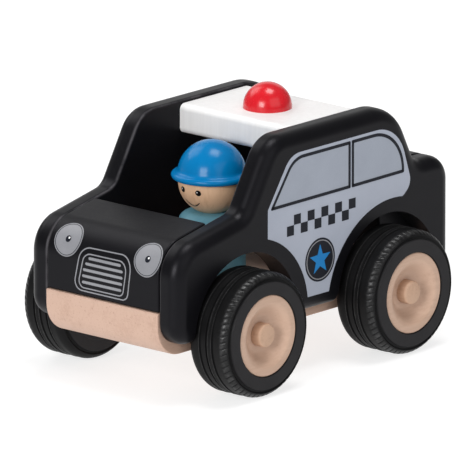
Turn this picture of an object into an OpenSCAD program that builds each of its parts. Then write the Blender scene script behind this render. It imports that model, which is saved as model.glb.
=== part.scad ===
// Wooden toy patrol car: two painted side panels on a chassis board, with a bonnet block,
// a boot block, a roof slab with a beacon, rubber-tyred wheels on two turning axles and a
// peg driver that lifts out of its socket.
// Millimetres. The car points along +X, +Y is its left side, +Z is up, the tyres stand on z = 0.

/* [Chassis] */
// Width of the chassis board, and so the clear width between the side panels
chassis_w = 52; // [46:1:62]
// Thickness of the chassis board
chassis_t = 16.5; // [15:0.5:20]
// Height of the axle centres above the underside of the board
axle_rise = 6; // [5.5:0.25:8]
// Radius of the rounded lower edge at each end of the board
chassis_end_r = 11.5; // [4:0.5:13]
// How far the board stands out in front of the side panels
bumper_proud = 0.6; // [0:0.1:3]

/* [Wheels] */
// Distance between the front and the rear axle
wheelbase = 76.6; // [72:0.2:90]
// Outside diameter of the tyres
tyre_d = 44.4; // [42:0.2:48]
// Width of the tyres
tyre_w = 18.7; // [15:0.1:24]
// Rounding of the tyre shoulders
tyre_shoulder_r = 4; // [2:0.1:4.5]
// Number of grooves that run round the tread
groove_count = 3; // [1:1:4]
// Distance from one tread groove to the next
groove_pitch = 2.8; // [2:0.1:3]
// Width of a tread groove
groove_w = 0.8; // [0.4:0.1:1.2]
// Depth of a tread groove
groove_depth = 0.7; // [0.3:0.1:1.5]
// Thickness of the rubber from the hub to the tread
tyre_wall = 7.8; // [6:0.1:10]
// How far the rim of the hub lies behind the tyre wall
hub_recess = 0.3; // [0:0.1:1.5]
// Width of the flat rim round the dish of the hub
hub_rim_w = 2.2; // [1.5:0.1:4]
// Diameter of the flat floor of the dish
hub_floor_d = 12; // [10:0.2:15]
// Depth of the dish
hub_dish_depth = 4.2; // [2:0.1:7]
// Diameter of the boss behind the hub
hub_boss_d = 18; // [12:0.5:24]
// Width of the bead that keeps the tyre on the hub
bead_w = 9; // [5:0.5:12]
// Height of that bead
bead_h = 1.2; // [0.5:0.1:2]
// Free space between the chassis side and the tyre
wheel_gap = 3.4; // [2:0.1:6]
// Diameter of the axle dowels
axle_d = 8.4; // [7:0.1:9]
// Rounding of the axle ends, as a bevel
axle_end_bevel = 0.6; // [0.2:0.1:1.5]

/* [Side panels] */
// Thickness of a side panel
panel_t = 9; // [7:0.5:14]
// Rounding of the outer edge of a side panel
panel_edge_r = 5; // [2:0.25:5.5]
// Rounding of the inner edge of a side panel
panel_inner_r = 1.2; // [0.4:0.1:1.8]
// Distance from the front axle to the front of the panels
front_overhang = 32.3; // [30:0.1:44]
// Distance from the rear axle to the back of the panels
rear_overhang = 34.7; // [30:0.1:44]
// How far the lower edge of the panels hangs below the axle centres
sill_drop = 1; // [0:0.1:3]
// Free space between a tyre and its wheel arch
arch_gap = 4.3; // [3.8:0.1:5.5]
// How far the front wheel arches are centred behind the front axle
front_arch_back = 3.2; // [0:0.1:3.4]
// How far the rear wheel arches are centred behind the rear axle
rear_arch_back = 1.2; // [0:0.1:3.4]
// Bevel on the outer edge of a wheel arch
arch_bevel = 0.8; // [0.2:0.1:2]
// Rounding of the lower front corner
toe_r = 8; // [6:0.5:12]
// Rounding of the lower back corner
heel_r = 8; // [6:0.5:12]
// Height of the nose corner above the chassis board
nose_h = 22.7; // [20:0.1:28]
// Rounding of the nose corner
nose_r = 13; // [6:0.5:15]
// Length of the bonnet line, from the nose to the foot of the windscreen
bonnet_l = 35; // [32:0.1:42]
// How far the bonnet line rises towards the windscreen
bonnet_rise = 6.9; // [2:0.1:12]
// Rounding at the foot of the windscreen
cowl_r = 6.5; // [3:0.5:12]
// Length that the windscreen line covers
screen_run = 14.5; // [8:0.5:20]
// Height of the roof line above the chassis board
roof_h = 54; // [48:0.5:64]
// Rounding at the front of the roof line
roof_front_r = 12; // [6:0.5:15]
// Rounding at the back of the roof line
roof_rear_r = 19; // [6:0.5:20]
// Length that the rear window line covers
rear_run = 11.5; // [6:0.5:16]
// Length of the boot line
boot_l = 16.9; // [15.5:0.1:22]
// Height of the boot line above the chassis board
boot_h = 31.1; // [28:0.1:36]
// Rounding at the foot of the rear window
boot_foot_r = 5.5; // [2:0.5:7]
// Rounding of the tail corner
tail_r = 9; // [6:0.5:10]

/* [Bonnet and boot blocks] */
// Length of the bonnet block
bonnet_block_l = 24.8; // [23:0.1:30]
// Length of the boot block
boot_block_l = 28.5; // [22:0.1:34]

/* [Roof and beacon] */
// Length of the roof slab
roof_l = 36.8; // [32:0.1:44]
// Thickness of the roof slab
roof_t = 10.5; // [9.5:0.1:14]
// Depth of the roof slab below the top of the panels
roof_drop = 1.3; // [0:0.1:4]
// Rounding of the front and back edges of the roof slab
roof_edge_r = 2.2; // [1:0.1:4.5]
// Distance from the front of the roof line back to the roof slab
roof_setback = 19.4; // [16:0.1:22]
// Diameter of the beacon dome
beacon_d = 17.2; // [12:0.2:22]
// Height of the straight skirt under the dome
beacon_skirt = 0.5; // [0.2:0.1:3]
// Distance from the front of the roof slab to the beacon
beacon_back = 16.9; // [14:0.1:20]
// Diameter of the spigot under the beacon
beacon_spigot_d = 7; // [5:0.5:10]
// Length of the spigot under the beacon
beacon_spigot_l = 6; // [3:0.5:7.5]

/* [Driver] */
// Distance from the bonnet block back to the driver
driver_back = 27.4; // [24:0.1:29]
// Distance of the driver from the middle of the car, towards its left side
driver_left = 4; // [0:0.5:10]
// Diameter of the body at its foot
torso_d = 23.8; // [20:0.2:26]
// Diameter of the body at the shoulder
shoulder_d = 23.2; // [19:0.2:25]
// Diameter of the flat on which the head sits
collar_d = 14.6; // [12:0.2:17]
// Height of the shoulder above the chassis board
shoulder_h = 19.4; // [16:0.1:26]
// Rise from the shoulder to the collar
collar_rise = 3.4; // [1:0.1:5]
// Diameter of the head
head_d = 23.6; // [20:0.2:24]
// Thickness cut flat from under the head
head_flat = 0.9; // [0.5:0.1:2]
// Height of the helmet brim above the middle of the head
brim_lift = 0.9; // [0:0.1:3]
// Diameter of the helmet brim
brim_d = 28.5; // [26:0.1:30]
// Thickness of the helmet brim
brim_t = 2.4; // [1.5:0.1:3]
// Diameter of the helmet dome
dome_d = 24.2; // [22:0.2:25]
// Height of the middle of the dome above the underside of the brim
dome_lift = 1.4; // [0.8:0.1:3]
// Diameter of the tenon on the head that enters the helmet
crown_d = 15; // [10:0.2:17]
// Length of that tenon
crown_l = 5; // [3:0.1:7]
// Diameter of the peg under the body
peg_d = 8; // [6:0.1:10]
// Length of the peg under the body
peg_l = 8; // [5:0.1:10]
// Diameter of the dowel in the neck
neck_d = 5; // [3:0.1:7]
// Length of the neck dowel in the body, and again in the head
neck_depth = 8; // [5:0.5:10]

/* [Joining dowels] */
// Diameter of the dowels between the panels and the inner pieces
dowel_d = 6; // [4:0.2:7]
// Length of a dowel inside a panel
dowel_in_panel = 5; // [3:0.1:6]
// Length of a dowel inside an inner piece
dowel_in_block = 12; // [8:0.5:16]
// Bevel on the ends of a dowel
dowel_bevel = 0.5; // [0.2:0.1:1]
// Distance of the roof dowels from the middle of the roof slab
roof_dowel_x = 11; // [8:0.5:12]
// Distance of the chassis dowels from the middle between the wheel arches
chassis_dowel_x = 6; // [4:0.5:7]
// Height of the chassis dowels above the axle centres
chassis_dowel_rise = 4.5; // [3:0.25:5]
// Upper bonnet dowel, ahead of the back of its block and above the board
bonnet_dowel_upper = [7, 18.5]; // [6:0.5:19]
// Lower bonnet dowel, ahead of the back of its block and above the board
bonnet_dowel_lower = [18.5, 10.5]; // [6:0.5:19]
// Upper boot dowel, ahead of the tail and above the board
boot_dowel_upper = [15, 22]; // [8:0.5:24]
// Lower boot dowel, ahead of the tail and above the board
boot_dowel_lower = [8, 9.5]; // [6:0.5:12]

/* [Clearances] */
// Radial space between an axle and its bore in the chassis
axle_clearance = 0.1; // [0.05:0.01:0.1]
// Space between a hub boss and the chassis side
boss_clearance = 0.4; // [0.3:0.1:1]
// Radial space between the driver's peg and its socket
peg_clearance = 0.1; // [0.05:0.01:0.1]
// Depth of a blind hole past the end of what it holds
hole_spare = 0.5; // [0.2:0.1:1]
// Radial glue space of fixed dowels, spigots, hubs and tyres
glue_gap = 0.05; // [0.02:0.01:0.1]
// Width of the glue line at the ends of a block and under it
glue_line = 0.1; // [0.05:0.05:0.3]

/* [Hidden] */
$fn = 96;
// Overshoot of a cutter past the face that it opens
over = 1;
// Longest bend of one straight stretch in a drawn arc, in degrees
arc_step = 7.5;

// Heights
axle_z = tyre_d / 2;
under_z = axle_z - axle_rise;
deck_z = under_z + chassis_t;
sill_z = axle_z - sill_drop;
panel_top_z = deck_z + roof_h;
roof_z = panel_top_z - roof_drop;

// Places along the car, with x = 0 in the middle of its length
front_x = (wheelbase + rear_overhang - front_overhang - bumper_proud) / 2;
rear_x = front_x - wheelbase;
arch_places = [front_x - front_arch_back, rear_x - rear_arch_back];
arch_mid_x = (arch_places[0] + arch_places[1]) / 2;
nose_x = front_x + front_overhang;
tail_x = rear_x - rear_overhang;
bonnet_back_x = nose_x - bonnet_block_l;
roof_front_x = nose_x - bonnet_l - screen_run - roof_setback;
roof_mid_x = roof_front_x - roof_l / 2;
beacon_x = roof_front_x - beacon_back;
driver_x = bonnet_back_x - driver_back;

// Places across the car
panel_y = chassis_w / 2;
wheel_y = panel_y + wheel_gap;
hub_face = tyre_w - hub_recess;
axle_l = 2 * (wheel_y + hub_face);

// Sizes that follow from others
arch_r = tyre_d / 2 + arch_gap;
hub_r = tyre_d / 2 - tyre_wall;
hub_dish_r = hub_r - hub_rim_w;
axle_r = axle_d / 2;
board_front_x = nose_x + bumper_proud;
block_w = chassis_w - 2 * glue_line;
torso_top_z = deck_z + shoulder_h + collar_rise;
head_z = torso_top_z + head_d / 2 - head_flat;
brim_z = head_z + brim_lift;

// Corners of the side panel from the toe round to the heel, each with its rounding
panel_corners = [
    [nose_x, sill_z, toe_r],
    [nose_x, deck_z + nose_h, nose_r],
    [nose_x - bonnet_l, deck_z + nose_h + bonnet_rise, cowl_r],
    [nose_x - bonnet_l - screen_run, panel_top_z, roof_front_r],
    [tail_x + boot_l + rear_run, panel_top_z, roof_rear_r],
    [tail_x + boot_l, deck_z + boot_h, boot_foot_r],
    [tail_x, deck_z + boot_h, tail_r],
    [tail_x, sill_z, heel_r]
];

// Places of the joining dowels, as x and z
roof_dowel_places = [for (s = [-1, 1]) [roof_mid_x + s * roof_dowel_x, roof_z - roof_t / 2]];
chassis_dowel_places = [for (s = [-1, 1])
    [arch_mid_x + s * chassis_dowel_x, axle_z + chassis_dowel_rise]];
bonnet_dowel_places = [for (p = [bonnet_dowel_upper, bonnet_dowel_lower])
    [bonnet_back_x + p[0], deck_z + p[1]]];
boot_dowel_places = [for (p = [boot_dowel_upper, boot_dowel_lower])
    [tail_x + p[0], deck_z + p[1]]];

// Outline helpers
function unit(v) = v / norm(v);
function right_of(v) = [v[1], -v[0]];
function flat(c) = [c[0], c[1]];

// Points of one rounded corner of an outline that runs anticlockwise, drawn inside it by inset
function corner_arc(before, at, after, inset) =
    let (
        t0 = unit(flat(at) - flat(before)),
        t1 = unit(flat(after) - flat(at)),
        side = sign(cross(t0, t1)),
        bend = acos(t0 * t1),
        r = at[2],
        centre = flat(at) - t0 * r * tan(bend / 2) - right_of(t0) * r * side,
        n0 = right_of(t0) * side,
        start = atan2(n0[1], n0[0]),
        steps = ceil(bend / arc_step)
    )
    [for (i = [0:steps])
        let (a = start + side * bend * i / steps)
        centre + (r - side * inset) * [cos(a), sin(a)]];

// Whole outline of the side panel as x and z, drawn inside it by inset
function panel_outline(inset) =
    let (c = panel_corners, n = len(c))
    [for (i = [0:n - 1]) each corner_arc(c[(i + n - 1) % n], c[i], c[(i + 1) % n], inset)];

// Steps through the thickness of a panel as distance from the inner face and inset of the outline,
// from before the inner face to past the outer face
function panel_sections() = concat(
    [[-over, panel_inner_r]],
    [for (a = [0:30:90]) [panel_inner_r * (1 - cos(a)), panel_inner_r * (1 - sin(a))]],
    [for (a = [0:15:90]) [panel_t - panel_edge_r * (1 - sin(a)), panel_edge_r * (1 - cos(a))]],
    [[panel_t + over, panel_edge_r]]
);

// Loft through the stepped outlines
module panel_loft() {
    sections = panel_sections();
    rings = [for (s = sections) [for (p = panel_outline(s[1])) [p[0], s[0], p[1]]]];
    n = len(rings[0]);
    last = len(rings) - 1;
    polyhedron(
        points = [for (ring = rings) each ring],
        faces = concat(
            [[for (i = [n - 1:-1:0]) i]],
            [for (s = [0:last - 1], i = [0:n - 1])
                [s * n + i, s * n + (i + 1) % n, (s + 1) * n + (i + 1) % n, (s + 1) * n + i]],
            [[for (i = [0:n - 1]) last * n + i]]
        ),
        convexity = 6
    );
}

// Panel blank with both edges rounded, cut flat on both faces, its inner face on y = 0
module panel_blank() {
    intersection() {
        panel_loft();
        translate([tail_x - over, 0, 0])
            cube([nose_x - tail_x + 2 * over, panel_t, panel_top_z + over]);
    }
}

// Extrusion of an x and z profile across the car
module across(width) {
    rotate([90, 0, 0])
        linear_extrude(height = width, center = true)
            children();
}

// Revolved profile with its axis along +Y
module turned_along_y() {
    rotate([-90, 0, 0])
        rotate_extrude()
            children();
}

// Rectangle from a corner, with rounded corners
module rounded_square(size, r) {
    translate([r, 0])
        square([size[0] - 2 * r, size[1]]);
    translate([0, r])
        square([size[0], size[1] - 2 * r]);
    for (x = [r, size[0] - r], y = [r, size[1] - r])
        translate([x, y])
            circle(r);
}

// Solid rod along its own axis with bevelled ends, as a half profile
module rod_profile(d, l, bevel) {
    polygon([
        [0, 0],
        [d / 2 - bevel, 0],
        [d / 2, bevel],
        [d / 2, l - bevel],
        [d / 2 - bevel, l],
        [0, l]
    ]);
}

// Left and right dowels at the given places
module dowels(places) {
    for (p = places, s = [0, 1])
        mirror([0, s, 0])
            translate([p[0], panel_y - dowel_in_block, p[1]])
                turned_along_y()
                    rod_profile(dowel_d, dowel_in_block + dowel_in_panel, dowel_bevel);
}

// Blind holes for the dowels, at the left and the right
module dowel_holes(places) {
    for (p = places, s = [0, 1])
        mirror([0, s, 0])
            translate([p[0], panel_y - dowel_in_block - hole_spare, p[1]])
                rotate([-90, 0, 0])
                    cylinder(
                        d = dowel_d + 2 * glue_gap,
                        h = dowel_in_block + dowel_in_panel + 2 * hole_spare
                    );
}

// Board with axle bores, the driver's socket and dowel holes
module chassis_board() {
    l = board_front_x - tail_x;
    r = chassis_end_r;
    color("BurlyWood")
        difference() {
            across(chassis_w)
                translate([tail_x, under_z])
                    intersection() {
                        square([l, chassis_t]);
                        rounded_square([l, chassis_t + 2 * r], r);
                    }
            for (x = [front_x, rear_x])
                translate([x, 0, axle_z])
                    rotate([90, 0, 0])
                        cylinder(r = axle_r + axle_clearance, h = chassis_w + 2 * over, center = true);
            translate([driver_x, driver_left, deck_z - peg_l - hole_spare])
                cylinder(d = peg_d + 2 * peg_clearance, h = peg_l + hole_spare + over);
            dowel_holes(chassis_dowel_places);
        }
}

// Side panel on the left of the car
module side_panel() {
    difference() {
        translate([0, panel_y, 0])
            panel_blank();
        for (x = arch_places)
            translate([x, panel_y, axle_z])
                rotate([-90, 0, 0]) {
                    translate([0, 0, -over])
                        cylinder(r = arch_r, h = panel_t + 2 * over);
                    translate([0, 0, panel_t - arch_bevel])
                        cylinder(r1 = arch_r, r2 = arch_r + 2 * arch_bevel, h = 2 * arch_bevel);
                }
        dowel_holes(roof_dowel_places);
        dowel_holes(bonnet_dowel_places);
        dowel_holes(boot_dowel_places);
        dowel_holes(chassis_dowel_places);
    }
}

module left_side_panel() {
    color("DimGray")
        side_panel();
}

module right_side_panel() {
    color("DimGray")
        mirror([0, 1, 0])
            side_panel();
}

// Block under the bonnet line, flush with the side panels
module bonnet_block() {
    color("DimGray")
        difference() {
            across(block_w)
                intersection() {
                    polygon(panel_outline(0));
                    translate([bonnet_back_x, deck_z + glue_line])
                        square([bonnet_block_l + over, roof_h]);
                }
            dowel_holes(bonnet_dowel_places);
        }
}

// Block under the boot line, flush with the side panels, whose flat top runs on into the cabin
module boot_block() {
    color("DimGray")
        difference() {
            across(block_w)
                intersection() {
                    polygon(panel_outline(0));
                    translate([tail_x - over, deck_z + glue_line])
                        square([boot_block_l + over, boot_h - glue_line]);
                }
            dowel_holes(boot_dowel_places);
        }
}

// Roof slab between the side panels, with the bore for the beacon
module roof_slab() {
    color("WhiteSmoke")
        difference() {
            across(block_w)
                translate([roof_front_x - roof_l, roof_z - roof_t])
                    rounded_square([roof_l, roof_t], roof_edge_r);
            translate([beacon_x, 0, roof_z - beacon_spigot_l - hole_spare])
                cylinder(
                    d = beacon_spigot_d + 2 * glue_gap,
                    h = beacon_spigot_l + hole_spare + over
                );
            dowel_holes(roof_dowel_places);
        }
}

// Beacon dome on a short skirt, with its spigot in the roof
module beacon() {
    r = beacon_d / 2;
    color("Crimson")
        translate([beacon_x, 0, roof_z])
            rotate_extrude() {
                intersection() {
                    translate([0, beacon_skirt])
                        circle(r);
                    translate([0, beacon_skirt])
                        square([r + over, r + over]);
                }
                square([r, beacon_skirt]);
                translate([0, -beacon_spigot_l])
                    square([beacon_spigot_d / 2, beacon_spigot_l]);
            }
}

// Axle dowel that carries a wheel at each end
module axle(x) {
    color("BurlyWood")
        translate([x, -axle_l / 2, axle_z])
            turned_along_y()
                rod_profile(axle_d, axle_l, axle_end_bevel);
}

module front_axle() axle(front_x);
module rear_axle() axle(rear_x);

// Half profile of a hub: boss, bead groove, rim and a dish that falls smoothly to its floor
module hub_profile() {
    bore_r = axle_r + glue_gap;
    floor_r = hub_floor_d / 2;
    steps = 10;
    dish = [for (i = [0:steps])
        [hub_dish_r + (floor_r - hub_dish_r) * i / steps,
         hub_face - hub_dish_depth * (1 - cos(180 * i / steps)) / 2]];
    difference() {
        polygon(concat(
            [[bore_r, boss_clearance - wheel_gap],
             [hub_boss_d / 2, boss_clearance - wheel_gap],
             [hub_boss_d / 2, 0],
             [hub_r, 0],
             [hub_r, hub_face]],
            dish,
            [[bore_r, hub_face - hub_dish_depth]]
        ));
        translate([hub_r - bead_h, (tyre_w - bead_w) / 2])
            square([bead_h + over, bead_w]);
    }
}

// Half profile of a tyre: rounded shoulders, tread grooves and the bead inside
module tyre_profile() {
    r = tyre_d / 2;
    inner_r = hub_r + glue_gap;
    difference() {
        union() {
            intersection() {
                translate([inner_r, 0])
                    square([r - inner_r, tyre_w]);
                translate([inner_r - 2 * tyre_shoulder_r, 0])
                    rounded_square([r - inner_r + 2 * tyre_shoulder_r, tyre_w], tyre_shoulder_r);
            }
            translate([inner_r - bead_h, (tyre_w - bead_w) / 2 + glue_gap])
                square([bead_h + over, bead_w - 2 * glue_gap]);
        }
        for (i = [0:groove_count - 1])
            translate([r - groove_depth, tyre_w / 2 + (i - (groove_count - 1) / 2) * groove_pitch - groove_w / 2])
                square([groove_depth + over, groove_w]);
    }
}

// Place of a wheel on its axle, on the left or the right
module at_wheel(x, right) {
    mirror([0, right, 0])
        translate([x, wheel_y, axle_z])
            turned_along_y()
                children();
}

module hub(x, right) {
    color("Wheat")
        at_wheel(x, right)
            hub_profile();
}

module tyre(x, right) {
    color("DarkSlateGray")
        at_wheel(x, right)
            tyre_profile();
}

module front_left_hub() hub(front_x, 0);
module front_right_hub() hub(front_x, 1);
module rear_left_hub() hub(rear_x, 0);
module rear_right_hub() hub(rear_x, 1);
module front_left_tyre() tyre(front_x, 0);
module front_right_tyre() tyre(front_x, 1);
module rear_left_tyre() tyre(rear_x, 0);
module rear_right_tyre() tyre(rear_x, 1);

// Turned body with a rounded shoulder, a peg below and a bore for the neck dowel
module driver_torso() {
    steps = 8;
    shoulder = [for (i = [0:steps])
        [collar_d / 2 + (shoulder_d - collar_d) / 2 * cos(90 * i / steps),
         shoulder_h + collar_rise * sin(90 * i / steps)]];
    color("LightSteelBlue")
        translate([driver_x, driver_left, deck_z])
            difference() {
                rotate_extrude()
                    polygon(concat(
                        [[0, -peg_l], [peg_d / 2, -peg_l], [peg_d / 2, 0], [torso_d / 2, 0]],
                        shoulder,
                        [[0, shoulder_h + collar_rise]]
                    ));
                translate([0, 0, shoulder_h + collar_rise - neck_depth - hole_spare])
                    cylinder(d = neck_d + 2 * glue_gap, h = neck_depth + hole_spare + over);
            }
}

// Ball head, flat under the neck and under the brim, with a tenon for the helmet
module driver_head() {
    color("Wheat")
        translate([driver_x, driver_left, head_z])
            difference() {
                rotate_extrude() {
                    intersection() {
                        circle(d = head_d);
                        translate([0, head_flat - head_d / 2])
                            square([head_d, head_d / 2 - head_flat + brim_lift]);
                    }
                    square([crown_d / 2, brim_lift + crown_l]);
                }
                translate([0, 0, head_flat - head_d / 2 - over])
                    cylinder(d = neck_d + 2 * glue_gap, h = neck_depth + hole_spare + over);
            }
}

// Helmet with a round brim and a domed crown, bored for the tenon of the head
module driver_helmet() {
    color("SteelBlue")
        translate([driver_x, driver_left, brim_z])
            difference() {
                rotate_extrude() {
                    square([(brim_d - brim_t) / 2, brim_t]);
                    translate([(brim_d - brim_t) / 2, brim_t / 2])
                        circle(d = brim_t);
                    square([dome_d / 2, dome_lift]);
                    intersection() {
                        translate([0, dome_lift])
                            circle(d = dome_d);
                        translate([0, dome_lift])
                            square([dome_d, dome_d]);
                    }
                }
                translate([0, 0, -over])
                    cylinder(d = crown_d + 2 * glue_gap, h = crown_l + hole_spare + over);
            }
}

// Dowel between the body and the head
module neck_dowel() {
    color("BurlyWood")
        translate([driver_x, driver_left, torso_top_z - neck_depth])
            rotate_extrude()
                rod_profile(neck_d, 2 * neck_depth, dowel_bevel);
}

// Hidden dowels that hold the panels
module roof_dowels() {
    color("BurlyWood")
        dowels(roof_dowel_places);
}

module bonnet_dowels() {
    color("BurlyWood")
        dowels(bonnet_dowel_places);
}

module boot_dowels() {
    color("BurlyWood")
        dowels(boot_dowel_places);
}

module chassis_dowels() {
    color("BurlyWood")
        dowels(chassis_dowel_places);
}

chassis_board();
left_side_panel();
right_side_panel();
bonnet_block();
boot_block();
roof_slab();
beacon();
front_axle();
rear_axle();
front_left_hub();
front_right_hub();
rear_left_hub();
rear_right_hub();
front_left_tyre();
front_right_tyre();
rear_left_tyre();
rear_right_tyre();
driver_torso();
driver_head();
driver_helmet();
neck_dowel();
roof_dowels();
bonnet_dowels();
boot_dowels();
chassis_dowels();
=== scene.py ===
"""Dressed model of a wooden toy patrol car.

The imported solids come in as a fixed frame, in metres: +X is the front of the car, +Y its left side
and +Z up. Each sub-assembly is a class that models its pieces and gives them their finish. Sizes
are written in millimetres, as on the drawing.
"""

import logging
import math
from dataclasses import dataclass
from enum import Enum
from typing import Callable, Sequence

import bpy
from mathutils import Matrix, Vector


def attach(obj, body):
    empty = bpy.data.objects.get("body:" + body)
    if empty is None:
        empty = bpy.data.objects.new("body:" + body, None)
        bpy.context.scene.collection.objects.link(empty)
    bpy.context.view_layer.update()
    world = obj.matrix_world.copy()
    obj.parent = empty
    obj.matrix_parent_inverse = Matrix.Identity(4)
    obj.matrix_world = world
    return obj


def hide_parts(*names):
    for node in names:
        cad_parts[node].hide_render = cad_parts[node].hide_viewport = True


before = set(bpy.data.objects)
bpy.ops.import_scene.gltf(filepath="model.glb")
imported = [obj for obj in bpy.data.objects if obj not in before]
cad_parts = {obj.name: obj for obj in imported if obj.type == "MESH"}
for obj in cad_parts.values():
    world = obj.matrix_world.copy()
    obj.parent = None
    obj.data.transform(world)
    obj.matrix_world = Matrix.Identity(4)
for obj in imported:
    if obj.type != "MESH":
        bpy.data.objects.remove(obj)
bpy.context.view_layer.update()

log = logging.getLogger("patrol_car")

Point = tuple[float, float]
Corner = tuple[float, float, float]
Points = tuple[Point, ...]
Corners = tuple[Corner, ...]
Colour = tuple[float, float, float]
Lay = Callable[[float, float, float], Vector]
EdgeTest = Callable[[Vector, Vector], bool]
Obj = bpy.types.Object
Output = bpy.types.NodeSocket

MM = 0.001
# Points closer than this many metres count as one
TOUCH = 1e-6
# Least bend of a sharp edge in degrees, on planks and on turned pieces
SHARP, SHARP_TURNED = 40.0, 35.0
# Sizes in mm that several pieces share
FRONT_AXLE, REAR_AXLE, AXLE_Z = 39.2, -37.4, 22.2
DECK_Z = 32.7
SEAT: Point = (19.3, 4.0)
FILM = 0.05


class Side(Enum):
    """Side of the car, with the sign of its Y."""

    LEFT = 1
    RIGHT = -1

    @property
    def label(self) -> str:
        """Side as it is written in the names of pieces."""
        return self.name.lower()


class Body(Enum):
    """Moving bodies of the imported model."""

    CAR = "car"
    FRONT_WHEELS = "front_wheels"
    REAR_WHEELS = "rear_wheels"
    DRIVER = "driver"


class Slot(Enum):
    """Material slots of the record."""

    NATURAL = "natural_wood"
    DOWEL = "dowel_wood"
    BLACK = "black_paint"
    WHITE = "white_paint"
    RED = "red_paint"
    BLUE = "blue_paint"
    LIGHT_BLUE = "light_blue_paint"
    RUBBER = "tyre_rubber"


class Grain(Enum):
    """Direction of the wood fibres, as the turn that brings it to X."""

    ALONG_X = (0.0, 0.0, 0.0)
    ALONG_Y = (0.0, 0.0, math.pi / 2)
    ALONG_Z = (0.0, math.pi / 2, 0.0)


def rounded(corners: Sequence[Corner], step: float = 5.0) -> list[Point]:
    """Outline through corners that are each rounded by their own radius.

    Args:
        corners: Corners as (across, up, radius) in mm, in anticlockwise order.
        step: Longest bend of one straight stretch, in degrees.

    Returns:
        Points of the outline in mm.
    """
    points: list[Point] = []
    for i, (x, z, r) in enumerate(corners):
        here = Vector((x, z))
        into = (here - Vector(corners[i - 1][:2])).normalized()
        out = (Vector(corners[(i + 1) % len(corners)][:2]) - here).normalized()
        bend = math.acos(max(-1.0, min(1.0, into.dot(out))))
        turn = math.copysign(1.0, into.x * out.y - into.y * out.x)
        normal = Vector((into.y, -into.x)) * turn
        centre = here - into * r * math.tan(bend / 2) - normal * r
        start = math.atan2(normal.y, normal.x)
        steps = max(1, math.ceil(math.degrees(bend) / step))
        for k in range(steps + 1):
            a = start + turn * bend * k / steps
            points.append((centre.x + r * math.cos(a), centre.y + r * math.sin(a)))
    return points


def arc(centre: Point, r: float, start: float, end: float, steps: int) -> list[Point]:
    """Points of an arc.

    Args:
        centre: Middle of the arc in mm.
        r: Radius in mm.
        start: First angle in degrees.
        end: Last angle in degrees.
        steps: Number of straight stretches.

    Returns:
        Points from the first angle to the last, in mm.
    """
    turns = [math.radians(start + (end - start) * k / steps) for k in range(steps + 1)]
    return [(centre[0] + r * math.cos(a), centre[1] + r * math.sin(a)) for a in turns]


def circle(centre: Point, r: float, corners: int) -> list[Point]:
    """Points of a whole circle, with its middle and radius in mm."""
    return arc(centre, r, 0, 360 * (corners - 1) / corners, corners - 1)


def upright(outline: Sequence[Point], y: float) -> list[Vector]:
    """Places in metres of an (x, z) outline in mm, on the upright plane at y metres."""
    return [Vector((x * MM, y, z * MM)) for x, z in outline]


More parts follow.
